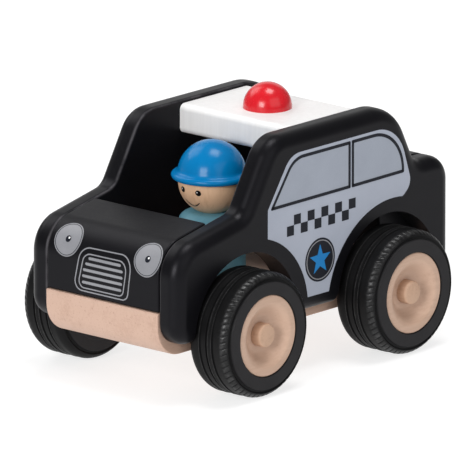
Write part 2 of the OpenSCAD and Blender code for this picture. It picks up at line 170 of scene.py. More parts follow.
class Bench:
    """Modelling moves on one mesh object at a time."""

    @staticmethod
    def clear() -> None:
        """Leaves edit mode and deselects everything."""
        if bpy.context.object and bpy.context.object.mode != "OBJECT":
            bpy.ops.object.mode_set(mode="OBJECT")
        bpy.ops.object.select_all(action="DESELECT")

    @staticmethod
    def take(obj: Obj) -> None:
        """Makes an object the only selected one and the active one."""
        Bench.clear()
        obj.select_set(True)
        bpy.context.view_layer.objects.active = obj

    @staticmethod
    def loop(name: str, points: Sequence[Vector]) -> Obj:
        """Closed loop of edges: a circle whose corners are moved to their places.

        Args:
            name: Name of the piece.
            points: Corners in metres, in order.

        Returns:
            The new mesh object.
        """
        Bench.clear()
        bpy.ops.mesh.primitive_circle_add(vertices=len(points))
        obj = bpy.context.object
        obj.name = obj.data.name = name
        for vertex, point in zip(obj.data.vertices, points):
            vertex.co = point
        return obj

    @staticmethod
    def edges(obj: Obj, test: EdgeTest) -> None:
        """Enters edit mode with the edges selected whose two ends pass a test."""
        Bench.take(obj)
        bpy.ops.object.mode_set(mode="EDIT")
        bpy.ops.mesh.select_mode(type="EDGE")
        bpy.ops.mesh.select_all(action="DESELECT")
        bpy.ops.object.mode_set(mode="OBJECT")
        co = [v.co.copy() for v in obj.data.vertices]
        for edge in obj.data.edges:
            edge.select = test(co[edge.vertices[0]], co[edge.vertices[1]])
        bpy.ops.object.mode_set(mode="EDIT")

    @staticmethod
    def whole(obj: Obj) -> None:
        """Enters edit mode with all of the mesh selected."""
        Bench.take(obj)
        bpy.ops.object.mode_set(mode="EDIT")
        bpy.ops.mesh.select_mode(type="VERT")
        bpy.ops.mesh.select_all(action="SELECT")

    @staticmethod
    def fill(obj: Obj) -> None:
        """Fills a loop with one face."""
        Bench.whole(obj)
        bpy.ops.mesh.edge_face_add()
        Bench.clear()

    @staticmethod
    def extrude(obj: Obj, move: Vector) -> None:
        """Gives a flat face its thickness.

        Args:
            obj: Flat mesh.
            move: Thickness and its direction, in metres.
        """
        Bench.whole(obj)
        bpy.ops.mesh.extrude_region_move(TRANSFORM_OT_translate={"value": tuple(move)})
        bpy.ops.mesh.select_all(action="SELECT")
        bpy.ops.mesh.normals_make_consistent(inside=False)
        Bench.clear()

    @staticmethod
    def bevel(obj: Obj, test: EdgeTest, width: float, segments: int) -> None:
        """Rounds the edges that pass a test.

        Args:
            obj: Mesh to work on.
            test: True for the two ends of an edge to round.
            width: Radius in mm.
            segments: Faces across the rounding.
        """
        Bench.edges(obj, test)
        bpy.ops.mesh.bevel(offset=width * MM, segments=segments, affect="EDGES", clamp_overlap=False)
        Bench.clear()

    @staticmethod
    def modify(obj: Obj, kind: str, **settings: object) -> None:
        """Adds a modifier with its settings and applies it."""
        Bench.take(obj)
        modifier = obj.modifiers.new(kind.lower(), kind)
        for key, value in settings.items():
            setattr(modifier, key, value)
        bpy.ops.object.modifier_apply(modifier=modifier.name)

    @staticmethod
    def bore(obj: Obj, centre: Vector, axis: str, r: float, length: float, steps: int) -> None:
        """Bores a round hole.

        Args:
            obj: Mesh to bore.
            centre: Middle of the hole in metres.
            axis: "Y" or "Z".
            r: Radius in mm.
            length: Length of the cutter in mm.
            steps: Faces round the hole.
        """
        Bench.clear()
        turn = (math.pi / 2, 0, 0) if axis == "Y" else (0, 0, 0)
        bpy.ops.mesh.primitive_cylinder_add(vertices=steps, radius=r * MM, depth=length * MM,
                                            location=centre, rotation=turn)
        cutter = bpy.context.object
        Bench.modify(obj, "BOOLEAN", object=cutter, operation="DIFFERENCE", solver="EXACT")
        bpy.data.objects.remove(cutter)

    @staticmethod
    def soften(obj: Obj, width: float, segments: int = 3) -> None:
        """Rounds every sharp edge.

        Args:
            obj: Mesh to work on.
            width: Radius in mm.
            segments: Faces across the rounding.
        """
        Bench.modify(obj, "BEVEL", width=width * MM, segments=segments, limit_method="ANGLE",
                     angle_limit=math.radians(SHARP), use_clamp_overlap=True)

    @staticmethod
    def smooth(obj: Obj, angle: float = SHARP) -> None:
        """Shades a mesh smooth, with flat faces kept flat and edges sharp from an angle in degrees."""
        Bench.take(obj)
        bpy.ops.object.shade_smooth_by_angle(angle=math.radians(angle))
        Bench.modify(obj, "WEIGHTED_NORMAL", keep_sharp=True, weight=60)

    @staticmethod
    def lathe(name: str, profile: Sequence[Point], centre: Vector, axis: Vector, steps: int) -> Obj:
        """Turned piece.

        Args:
            name: Name of the piece.
            profile: (radius, along) in mm. It is closed, or starts and ends on the axis.
            centre: Zero of the profile in metres.
            axis: Direction of the axis, along Y or Z, signed.
            steps: Faces round the axis.

        Returns:
            The new mesh object, closed and with its faces outwards.
        """
        out = Vector((1, 0, 0))
        obj = Bench.loop(name, [centre + out * r * MM + axis * h * MM for r, h in profile])
        if profile[0][0] == 0 and profile[-1][0] == 0:
            first, last = (centre + axis * h * MM for _, h in (profile[0], profile[-1]))
            ends = {tuple(round(c, 7) for c in p) for p in (first, last)}
            Bench.edges(obj, lambda a, b: {tuple(round(c, 7) for c in p) for p in (a, b)} == ends)
            bpy.ops.mesh.delete(type="EDGE")
        Bench.whole(obj)
        bpy.ops.mesh.spin(steps=steps, angle=2 * math.pi, center=centre, axis=axis)
        bpy.ops.mesh.select_all(action="SELECT")
        bpy.ops.mesh.remove_doubles(threshold=TOUCH)
        bpy.ops.mesh.normals_make_consistent(inside=False)
        Bench.clear()
        return obj

    @staticmethod
    def join(name: str, parts: Sequence[Obj]) -> Obj:
        """Joins meshes into one piece.

        Args:
            name: Name of the piece.
            parts: Meshes to join, at least one.

        Returns:
            The joined object.
        """
        Bench.take(parts[0])
        for part in parts:
            part.select_set(True)
        bpy.ops.object.join()
        parts[0].name = parts[0].data.name = name
        return parts[0]

    @staticmethod
    def paint(obj: Obj, name: str, value: Callable[[Vector, Vector], float]) -> None:
        """Stores a number at each point of a mesh for its finish to read.

        Args:
            obj: Mesh to work on.
            name: Name of the attribute.
            value: Number from the place and the normal of a point.
        """
        attribute = obj.data.attributes.new(name, "FLOAT", "POINT")
        for vertex, item in zip(obj.data.vertices, attribute.data):
            item.value = value(vertex.co, vertex.normal)


class Graph:
    """Node tree of one material."""

    def __init__(self, name: str) -> None:
        """Starts a material with one shader and its Object coordinates."""
        self.material = bpy.data.materials.new(name)
        self.material.use_nodes = True
        self.tree = self.material.node_tree
        self.tree.nodes.clear()
        self.shader = self.tree.nodes.new("ShaderNodeBsdfPrincipled")
        output = self.tree.nodes.new("ShaderNodeOutputMaterial")
        self.tree.links.new(self.shader.outputs["BSDF"], output.inputs["Surface"])
        self.place = self.tree.nodes.new("ShaderNodeTexCoord").outputs["Object"]

    def constants(self, **values: object) -> None:
        """Sets numbers that are the same all over, with _ for a space in the socket's name."""
        for key, value in values.items():
            self.shader.inputs[key.replace("_", " ")].default_value = value

    def feed(self, socket: str, output: Output) -> None:
        """Links an output to a socket of the shader."""
        self.tree.links.new(output, self.shader.inputs[socket])

    def node(self, kind: str, inputs: dict[int | str, object], **settings: object) -> bpy.types.Node:
        """Adds a node.

        Args:
            kind: Blender's name of the node.
            inputs: Sockets by name or number, each with a number, a colour or an output to link.
            settings: The node's own options.

        Returns:
            The new node.
        """
        node = self.tree.nodes.new(kind)
        for key, value in settings.items():
            setattr(node, key, value)
        for key, value in inputs.items():
            if isinstance(value, Output):
                self.tree.links.new(value, node.inputs[key])
            else:
                node.inputs[key].default_value = value
        return node

    def mapped(self, scale: Corner, grain: Grain) -> Output:
        """Object coordinates turned so that the fibres lie along X, then stretched."""
        turned = self.node("ShaderNodeMapping", {"Vector": self.place, "Rotation": grain.value})
        return self.node("ShaderNodeMapping", {"Vector": turned.outputs[0], "Scale": scale}).outputs[0]

    def noise(self, vector: Output, scale: float, detail: float = 3.0, rough: float = 0.5) -> Output:
        """Soft noise between 0 and 1."""
        inputs = {"Vector": vector, "Scale": scale, "Detail": detail, "Roughness": rough}
        return self.node("ShaderNodeTexNoise", inputs).outputs[0]

    def ramp(self, factor: Output, stops: Sequence[tuple[float, Colour]]) -> Output:
        """Colours along a number.

        Args:
            factor: Number between 0 and 1.
            stops: Places and colours, in order.

        Returns:
            The colour output.
        """
        node = self.node("ShaderNodeValToRGB", {0: factor})
        items = node.color_ramp.elements
        while len(items) < len(stops):
            items.new(0.5)
        for item, (position, colour) in zip(items, stops):
            item.position = position
            item.color = (*colour, 1.0)
        return node.outputs[0]

    def span(self, factor: Output, low: float, high: float, to_low: float, to_high: float) -> Output:
        """Carries a number from one range to another, clamped."""
        inputs = {0: factor, 1: low, 2: high, 3: to_low, 4: to_high}
        return self.node("ShaderNodeMapRange", inputs).outputs[0]

    def maths(self, operation: str, a: object, b: object) -> Output:
        """One sum on two numbers."""
        return self.node("ShaderNodeMath", {0: a, 1: b}, operation=operation).outputs[0]

    def shares(self, a: Output, share_a: float, b: Output, share_b: float) -> Output:
        """Sum of two numbers, each times its share."""
        return self.maths("ADD", self.maths("MULTIPLY", a, share_a), self.maths("MULTIPLY", b, share_b))

    def mix(self, factor: Output, a: Output | Colour, b: Colour) -> Output:
        """Mixes two colours, the first of which may be an output."""
        first = a if isinstance(a, Output) else (*a, 1.0)
        inputs = {0: factor, 6: first, 7: (*b, 1.0)}
        return self.node("ShaderNodeMix", inputs, data_type="RGBA").outputs[2]

    def attribute(self, name: str) -> Output:
        """Number stored at the points of the mesh."""
        return self.node("ShaderNodeAttribute", {}, attribute_name=name).outputs["Fac"]

    def bump(self, height: Output) -> None:
        """Raises the surface by a height in mm."""
        inputs = {"Height": height, "Distance": MM, "Strength": 1.0}
        self.feed("Normal", self.node("ShaderNodeBump", inputs).outputs[0])


@dataclass(frozen=True)
class PaintedWood:
    """Paint on sanded wood, with the grain showing faintly through it."""

    name: str
    slot: Slot
    low: Colour
    high: Colour
    rough: Point
    grain: Grain = Grain.ALONG_X
    grain_depth: float = 0.02
    peel_depth: float = 0.012
    streak: float = 0.4
    coat: float = 0.0
    coat_rough: float = 0.1
    sheen: float = 0.25
    tint: Colour = (1.0, 1.0, 1.0)
    # Lighter colour for the edge line: a painted highlight, partly also paint wear
    wear_and_highlight: Colour | None = None

    def material(self) -> bpy.types.Material:
        """Builds the material."""
        g = Graph(self.name)
        fibres = g.noise(g.mapped((28, 620, 620), self.grain), 1.0, 5.0, 0.62)
        cloud = g.noise(g.place, 55.0)
        peel = g.noise(g.place, 900.0, 2.0)
        tone = g.shares(fibres, self.streak, cloud, 1 - self.streak)
        colour = g.ramp(tone, ((0.32, self.low), (0.68, self.high)))
        rough = g.span(g.maths("ADD", cloud, g.maths("MULTIPLY", peel, 0.5)), 0.5, 1.0, *self.rough)
        # Painted highlight: where a mesh stores an edge share, patches get a lighter colour that stands in for
        # the light line along the edge's rounding, partly also paint wear.
        if self.wear_and_highlight:
            patchy = g.span(g.noise(g.place, 200.0, 4.0, 0.6), 0.35, 0.6, 0.25, 1.0)
            colour = g.mix(g.maths("MULTIPLY", g.attribute("edge"), patchy), colour, self.wear_and_highlight)
        g.feed("Base Color", colour)
        g.feed("Roughness", rough)
        g.constants(Coat_Weight=self.coat, Coat_Roughness=self.coat_rough, IOR=1.5,
                    Specular_IOR_Level=self.sheen, Specular_Tint=(*self.tint, 1.0))
        g.bump(g.shares(fibres, self.grain_depth, peel, self.peel_depth))
        return g.material


@dataclass(frozen=True)
class BareWood:
    """Sanded pale wood under thin matt lacquer, with fibres, growth bands, flecks and pores."""

    name: str
    slot: Slot
    light: Colour
    dark: Colour
    fleck: Colour
    grain: Grain = Grain.ALONG_X
    flecks: float = 0.55
    rough: Point = (0.46, 0.62)

    def material(self) -> bpy.types.Material:
        """Builds the material."""
        g = Graph(self.name)
        fibres = g.noise(g.mapped((30, 900, 900), self.grain), 1.0, 5.0, 0.6)
        bands = g.noise(g.mapped((6, 110, 110), self.grain), 1.0)
        rays = g.noise(g.mapped((260, 1500, 1500), self.grain), 1.0, 2.0)
        pores = g.noise(g.mapped((500, 2600, 2600), self.grain), 1.0, 1.0, 0.4)
        tone = g.shares(fibres, 0.45, bands, 0.55)
        colour = g.ramp(tone, ((0.30, self.dark), (0.52, self.light), (0.75, self.light)))
        ray_mask = g.span(rays, 0.64, 0.76, 0.0, self.flecks)
        pore_mask = g.span(pores, 0.70, 0.80, 0.0, self.flecks)
        mask = g.maths("MAXIMUM", ray_mask, pore_mask)
        g.feed("Base Color", g.mix(mask, colour, self.fleck))
        g.feed("Roughness", g.span(fibres, 0.3, 0.7, *self.rough))
        g.constants(IOR=1.46)
        g.bump(g.shares(fibres, 0.03, mask, -0.04))
        return g.material


@dataclass(frozen=True)
class Rubber:
    """Moulded rubber: tread painted darker than the walls as painted shade, and shine on the shoulder and the
    tread's lips, partly dust and partly painted highlight.
    """

    name: str
    slot: Slot
    # The tread colour is darker than the wall colour as painted shade under the arch.
    tread: Colour
    wall: Colour
    dust_and_highlight: Colour
    rough: Point = (0.48, 0.58)

    def material(self) -> bpy.types.Material:
        """Builds the material."""
        g = Graph(self.name)
        cloud = g.noise(g.place, 140.0, 4.0, 0.6)
        fine = g.noise(g.place, 2600.0, 2.0)
        wall, wear_and_highlight = g.attribute("wall"), g.attribute("wear_and_highlight")
        patches = g.span(g.noise(g.place, 480.0, 4.0, 0.7), 0.46, 0.68, 0.0, 0.6)
        # Painted shade: the tread and all but the flat walls take the darker colour.
        rubber = g.mix(wall, self.tread, self.wall)
        shade = g.mix(g.span(cloud, 0.3, 0.7, 0.0, 0.12), rubber, self.wall)
        rough = g.span(cloud, 0.3, 0.7, *self.rough)
        # Lighter patches on the lips and the shoulder's notches: partly dust, partly a painted highlight.
        g.feed("Base Color", g.mix(g.maths("MULTIPLY", wear_and_highlight, patches), shade, self.dust_and_highlight))
        g.feed("Roughness", g.maths("SUBTRACT", rough, g.maths("MULTIPLY", wear_and_highlight, 0.20)))
        g.feed("Specular IOR Level", g.maths("ADD", g.maths("MULTIPLY", wear_and_highlight, 0.18), 0.12))
        g.constants(IOR=1.5)
        g.bump(g.shares(fine, 0.012, cloud, 0.04))
        return g.material


@dataclass(frozen=True)
class Ink:
    """Printed film with a little unevenness in its cover."""

    name: str
    slot: Slot
    low: Colour
    high: Colour
    rough: Point = (0.36, 0.48)
    sheen: float = 0.5

    def material(self) -> bpy.types.Material:
        """Builds the material."""
        g = Graph(self.name)
        cloud = g.noise(g.place, 90.0, 4.0, 0.6)
        dots = g.noise(g.place, 3200.0, 1.0)
        peel = g.noise(g.place, 900.0, 2.0)
        tone = g.shares(cloud, 0.75, dots, 0.25)
        g.feed("Base Color", g.ramp(tone, ((0.3, self.low), (0.7, self.high))))
        g.feed("Roughness", g.span(cloud, 0.3, 0.7, *self.rough))
        g.constants(IOR=1.5, Specular_IOR_Level=self.sheen)
        g.bump(g.shares(dots, 0.006, peel, 0.010))
        return g.material


Finish = PaintedWood | BareWood | Rubber | Ink
Dressed = tuple[Obj, Finish]


class Finishes:
    """All finishes of the car, each made once."""

    # The black's lighter edge colour paints the highlight line along the panels' inner edges, partly also paint
    # wear.
    black = PaintedWood(
        "satin_black", Slot.BLACK, (0.0028, 0.0028, 0.0037), (0.0040, 0.0039, 0.0051), (0.32, 0.42),
        grain_depth=0.008, peel_depth=0.005, sheen=0.14, tint=(0.94, 0.92, 1.0),
        wear_and_highlight=(0.075, 0.072, 0.078))
    black_across = PaintedWood(
        "satin_black_across", Slot.BLACK, (0.0028, 0.0028, 0.0037), (0.0044, 0.0043, 0.0056),
        (0.33, 0.43), Grain.ALONG_Y, grain_depth=0.010, peel_depth=0.005, sheen=0.14,
        tint=(0.94, 0.92, 1.0))
    white = PaintedWood(
        "satin_white", Slot.WHITE, (0.735, 0.725, 0.72), (0.815, 0.81, 0.805), (0.42, 0.54),
        Grain.ALONG_Z, grain_depth=0.03, streak=0.6)
    red = PaintedWood(
        "gloss_red", Slot.RED, (0.54, 0.005, 0.012), (0.63, 0.008, 0.017), (0.20, 0.30),
        Grain.ALONG_Z, grain_depth=0.006, peel_depth=0.010, streak=0.3, coat=0.45, coat_rough=0.19)
    blue = PaintedWood(
        "gloss_blue", Slot.BLUE, (0.000, 0.148, 0.37), (0.001, 0.167, 0.41), (0.22, 0.30),
        Grain.ALONG_Z, grain_depth=0.006, peel_depth=0.010, streak=0.3, coat=0.22, coat_rough=0.19,
        sheen=0.08)
    light_blue = PaintedWood(
        "satin_light_blue", Slot.LIGHT_BLUE, (0.14, 0.36, 0.46), (0.18, 0.42, 0.53), (0.34, 0.46),
        Grain.ALONG_Z, grain_depth=0.012)
    board = BareWood(
        "beech_board", Slot.NATURAL, (0.525, 0.354, 0.274), (0.435, 0.280, 0.206),
        (0.25, 0.135, 0.090), flecks=0.62)
    turned = BareWood(
        "beech_turned", Slot.NATURAL, (0.54, 0.365, 0.270), (0.46, 0.297, 0.212),
        (0.38, 0.235, 0.165), flecks=0.22)
    head = BareWood(
        "beech_head", Slot.NATURAL, (0.70, 0.455, 0.29), (0.565, 0.34, 0.205),
        (0.41, 0.225, 0.117), Grain.ALONG_Z, flecks=0.30)
    dowel = BareWood(
        "beech_dowel", Slot.DOWEL, (0.515, 0.330, 0.226), (0.43, 0.262, 0.172),
        (0.34, 0.19, 0.11), Grain.ALONG_Y, flecks=0.40)
    rubber = Rubber(
        "tyre_rubber", Slot.RUBBER, (0.0040, 0.0040, 0.0043), (0.0190, 0.0182, 0.0196),
        (0.055, 0.055, 0.056))
    grey = Ink("grey_print", Slot.WHITE, (0.33, 0.36, 0.435), (0.375, 0.405, 0.48))
    glass = Ink("window_print", Slot.WHITE, (0.275, 0.305, 0.365), (0.315, 0.345, 0.41))
    line = Ink("dark_print", Slot.BLACK, (0.007, 0.0085, 0.014), (0.011, 0.0125, 0.019), sheen=0.12)
    silver = Ink("silver_print", Slot.WHITE, (0.195, 0.198, 0.216), (0.245, 0.248, 0.267), (0.34, 0.44))
    pupil = Ink("black_print", Slot.BLACK, (0.0030, 0.0028, 0.0030), (0.0050, 0.0045, 0.0047), sheen=0.12)
    star = Ink("blue_print", Slot.BLUE, (0.006, 0.160, 0.43), (0.010, 0.200, 0.50), sheen=0.2)
    glint = Ink("white_print", Slot.WHITE, (0.80, 0.80, 0.80), (0.90, 0.90, 0.90))
    made: dict[str, bpy.types.Material] = {}

    @classmethod
    def give(cls, obj: Obj, finish: Finish) -> None:
        """Puts a finish on an object."""
        if finish.name not in cls.made:
            cls.made[finish.name] = finish.material()
        obj.data.materials.clear()
        obj.data.materials.append(cls.made[finish.name])


def fit(obj: Obj, finish: Finish, body: Body, *nodes: str) -> None:
    """Finishes a new piece and hangs it on its body.

    Args:
        obj: The finished mesh.
        finish: Its finish.
        body: Body that it moves with.
        nodes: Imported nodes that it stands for.
    """
    Finishes.give(obj, finish)
    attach(obj, body.value)
    if nodes:
        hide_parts(*nodes)
    faces = len(obj.data.polygons)
    log.info("piece %s: %d faces, %s, rides on %s", obj.name, faces, finish.name, body.value)


def keep(node: str, finish: Finish) -> None:
    """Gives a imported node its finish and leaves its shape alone."""
    Finishes.give(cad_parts[node], finish)
    log.info("node %s: %s", node, finish.name)


@dataclass
class Film:
    """Thin printed film, drawn flat in mm and laid on a face.

    A band above zero keeps only that width along the outline. A strip above zero cuts the film
    across at that pitch, so that it can bend upwards. The lift is its height over the face.
    """

    name: str
    outline: Sequence[Point]
    band: float = 0.0
    strip: float = 0.0
    lift: float = 0.0

    def make(self, lay: Lay) -> Obj:
        """Draws the film and lays it.

        Args:
            lay: Place in metres from two drawing coordinates and a height, all in mm.

        Returns:
            The new mesh object.
        """
        obj = Bench.loop(self.name, [Vector((u * MM, v * MM, 0)) for u, v in self.outline])
        Bench.fill(obj)
        if self.band:
            Bench.whole(obj)
            bpy.ops.mesh.select_mode(type="FACE")
            bpy.ops.mesh.inset(thickness=self.band * MM, depth=0)
            bpy.ops.mesh.delete(type="FACE")
            Bench.clear()
        if self.strip:
            low, high = min(v for _, v in self.outline), max(v for _, v in self.outline)
            for k in range(1, math.ceil((high - low) / self.strip)):
                Bench.whole(obj)
                bpy.ops.mesh.bisect(plane_co=(0, (low + k * self.strip) * MM, 0), plane_no=(0, 1, 0))
            Bench.clear()
        Bench.extrude(obj, Vector((0, 0, FILM * MM)))
        for vertex in obj.data.vertices:
            u, v, w = vertex.co / MM
            vertex.co = lay(u, v, w + self.lift)
        Bench.whole(obj)
        bpy.ops.mesh.normals_make_consistent(inside=False)
        Bench.clear()
        return obj


@dataclass
class SidePanel:
    """Painted side panel with rounded edges and two wheel arches."""

    side: Side
    inner: float = 26.0
    thickness: float = 9.0
    edge_r: float = 5.0
    inner_r: float = 1.2
    arch_r: float = 26.5
    arch_edge: float = 0.9
    arches: Point = (36.0, -38.6)
    corners: Corners = (
        (71.5, 21.2, 8.0), (71.5, 55.4, 13.0), (36.5, 62.3, 6.5), (22.0, 86.7, 12.0),
        (-43.7, 86.7, 19.0), (-55.2, 63.8, 5.5), (-72.1, 63.8, 9.0), (-72.1, 21.2, 8.0),
    )

    def build(self) -> Obj:
        """Models the panel."""
        sign = self.side.value
        near, far = sign * self.inner * MM, sign * (self.inner + self.thickness) * MM
        obj = Bench.loop(f"{self.side.label}_panel", upright(rounded(self.corners, 4), near))
        Bench.fill(obj)
        Bench.extrude(obj, Vector((0, far - near, 0)))
        for y, r, segments in ((far, self.edge_r, 10), (near, self.inner_r, 4)):
            Bench.bevel(obj, lambda a, b: max(abs(a.y - y), abs(b.y - y)) < TOUCH, r, segments)
        for x in self.arches:
            middle = Vector((x * MM, (near + far) / 2, AXLE_Z * MM))
            Bench.bore(obj, middle, "Y", self.arch_r, 4 * self.thickness, 144)
        Bench.soften(obj, self.arch_edge)
        # Painted highlight: a lighter line along the inner edge's rounding, partly also paint wear.
        Bench.paint(obj, "edge", self.highlight_and_wear)
        Bench.smooth(obj)
        return obj

    def highlight_and_wear(self, place: Vector, normal: Vector) -> float:
        """Share of lighter paint at a point, most in the middle of the inner edge's rounding: a painted
        highlight line, partly also paint wear.
        """
        inward = -self.side.value * normal.y
        if inward <= 0 or abs(place.y) >= (self.inner + self.inner_r) * MM:
            return 0.0
        return (2 * inward * math.sqrt(max(0.0, 1 - inward * inward))) ** 4

    def dress(self) -> None:
        """Models and finishes the panel."""
        fit(self.build(), Finishes.black, Body.CAR, f"{self.side.label}_side_panel")


@dataclass
class EndBlock:
    """Block between the panels, cut from the panels' own outline."""

    name: str
    node: str
    cut_x: float
    ahead: bool
    top: float = 90.0
    half_width: float = 25.9
    bottom: float = 32.8
    edge: float = 0.8

    def build(self) -> Obj:
        """Models the block."""
        y = -self.half_width * MM
        obj = Bench.loop(self.name, upright(rounded(SidePanel.corners, 4), y))
        Bench.fill(obj)
        away = -1 if self.ahead else 1
        for place, normal in (
            ((self.cut_x, 0, 0), (away, 0, 0)),
            ((0, 0, self.bottom), (0, 0, -1)),
            ((0, 0, self.top), (0, 0, 1)),
        ):
            Bench.whole(obj)
            bpy.ops.mesh.bisect(plane_co=Vector(place) * MM, plane_no=normal, clear_outer=True)
        Bench.clear()
        Bench.extrude(obj, Vector((0, -2 * y, 0)))
        Bench.soften(obj, self.edge, 4)
        Bench.smooth(obj)
        return obj

    def dress(self) -> None:
        """Models and finishes the block."""
        fit(self.build(), Finishes.black_across, Body.CAR, self.node)


@dataclass
class ChassisBoard:
    """Bare board with rounded lower ends, axle bores and the driver's socket."""

    half_length: float = 72.1
    under: float = 16.2
    half_width: float = 26.0
    end_r: float = 11.5
    edge: float = 0.45
    bore_r: float = 4.3
    socket_r: float = 4.1
    socket_depth: float = 8.5

    def build(self) -> Obj:
        """Models the board."""
        x, y = self.half_length, -self.half_width * MM
        points = rounded(((-x, self.under, self.end_r), (x, self.under, self.end_r),
                          (x, DECK_Z, 0.0), (-x, DECK_Z, 0.0)))
        outline = [p for i, p in enumerate(points) if i == 0 or math.dist(p, points[i - 1]) > TOUCH]
        obj = Bench.loop("board", upright(outline, y))
        Bench.fill(obj)
        Bench.extrude(obj, Vector((0, -2 * y, 0)))
        Bench.soften(obj, self.edge)
        for axle in (FRONT_AXLE, REAR_AXLE):
            middle = Vector((axle * MM, 0, AXLE_Z * MM))
            Bench.bore(obj, middle, "Y", self.bore_r, 3 * self.half_width, 48)
        top = Vector((SEAT[0] * MM, SEAT[1] * MM, DECK_Z * MM))
        Bench.bore(obj, top, "Z", self.socket_r, 2 * self.socket_depth, 48)
        Bench.smooth(obj)
        return obj

    def dress(self) -> None:
        """Models and finishes the board."""
        fit(self.build(), Finishes.board, Body.CAR, "chassis_board")


@dataclass
class Upperworks:
    """Roof slab, beacon and the hidden dowels, kept as they are packed."""

    def dress(self) -> None:
        """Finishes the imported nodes."""
        keep("roof_slab", Finishes.white)
        keep("beacon", Finishes.red)
        for node in ("roof_dowels", "bonnet_dowels", "boot_dowels", "chassis_dowels"):
            keep(node, Finishes.dowel)


@dataclass
class SidePrint:
    """Door and window print on a side panel, with a chequer band and a round badge."""

    side: Side
    face: float = 35.0
    shift: float = 0.9
    front_arch: tuple[Point, float, float, float] = ((32.75, 23.1), 29.8, 173.0, 108.5)
    rear_arch: tuple[Point, float, float, float] = ((-41.65, 19.15), 34.55, 98.5, 12.6)
    upper: Corners = (
        (24.05, 51.4, 0.5), (24.05, 61.8, 3.0), (12.05, 79.6, 9.0),
        (-44.3, 79.6, 15.5), (-51.64, 57.04, 5.0), (-47.4, 53.6, 0.4),
    )
    front_window: Corners = (
        (22.95, 61.45, 0.5), (10.8, 78.5, 10.0), (-19.2, 78.5, 0.5), (-19.2, 61.6, 0.5),
    )
    rear_window: Corners = (
        (-19.8, 61.6, 0.5), (-19.8, 78.6, 0.5), (-47.5, 78.6, 15.9), (-47.5, 61.8, 0.6),
    )
    frame_w: float = 1.15
    square: float = 3.6
    columns: int = 10
    band_corner: Point = (14.1, 50.5)
    badge: Point = (-3.2, 39.0)
    badge_r: float = 7.8
    ring_r: float = 7.1
    ring_w: float = 0.35
    star_r: Point = (5.6, 2.3)

    def lay(self, u: float, v: float, w: float) -> Vector:
        """Place on the panel's face."""
        return Vector((u + self.shift, self.side.value * (self.face + w), v)) * MM

    def sheet(self) -> list[Point]:
        """Outline of the grey print, which keeps clear of both arches."""
        return [*arc(*self.rear_arch, 24), *arc(*self.front_arch, 16), *rounded(self.upper)[1:]]

    def chequers(self) -> list[Film]:
        """Two rows of squares, from the band's lower front corner backwards."""
        size, (front, low) = self.square, self.band_corner
        squares = []
        for row in range(2):
            for column in range(row, self.columns, 2):
                x, z = front - size * (column + 1), low + size * row
                corners = ((x, z), (x + size, z), (x + size, z + size), (x, z + size))
                squares.append(Film("square", corners, lift=FILM))
        return squares

    def star(self) -> list[Point]:
        """Outline of the badge's five-point star."""
        tips = [(self.star_r[k % 2], math.radians(90 + 36 * k)) for k in range(10)]
        return [(self.badge[0] + r * math.cos(a), self.badge[1] + r * math.sin(a)) for r, a in tips]

    def build(self) -> list[Dressed]:
        """Models the films, each with its finish."""
        label = self.side.label
        films = [(Film(f"{label}_print", self.sheet()).make(self.lay), Finishes.grey)]
        for name, corners in (("front", self.front_window), ("rear", self.rear_window)):
            pane = Film(f"{label}_{name}_pane", rounded(corners), lift=FILM)
            films.append((pane.make(self.lay), Finishes.glass))
            border = Film(f"{label}_{name}_frame", rounded(corners), self.frame_w, lift=2 * FILM)
            films.append((border.make(self.lay), Finishes.line))
        squares = [square.make(self.lay) for square in self.chequers()]
        films.append((Bench.join(f"{label}_chequers", squares), Finishes.line))
        disc, ring = circle(self.badge, self.badge_r, 48), circle(self.badge, self.ring_r, 48)
        for film, finish in (
            (Film(f"{label}_badge", disc, lift=FILM), Finishes.line),
            (Film(f"{label}_badge_ring", ring, self.ring_w, lift=2 * FILM), Finishes.silver),
            (Film(f"{label}_star", self.star(), lift=2 * FILM), Finishes.star),
        ):
            films.append((film.make(self.lay), finish))
        return films

    def dress(self) -> None:
        """Models and finishes the print."""
        for film, finish in self.build():
            fit(film, finish, Body.CAR)


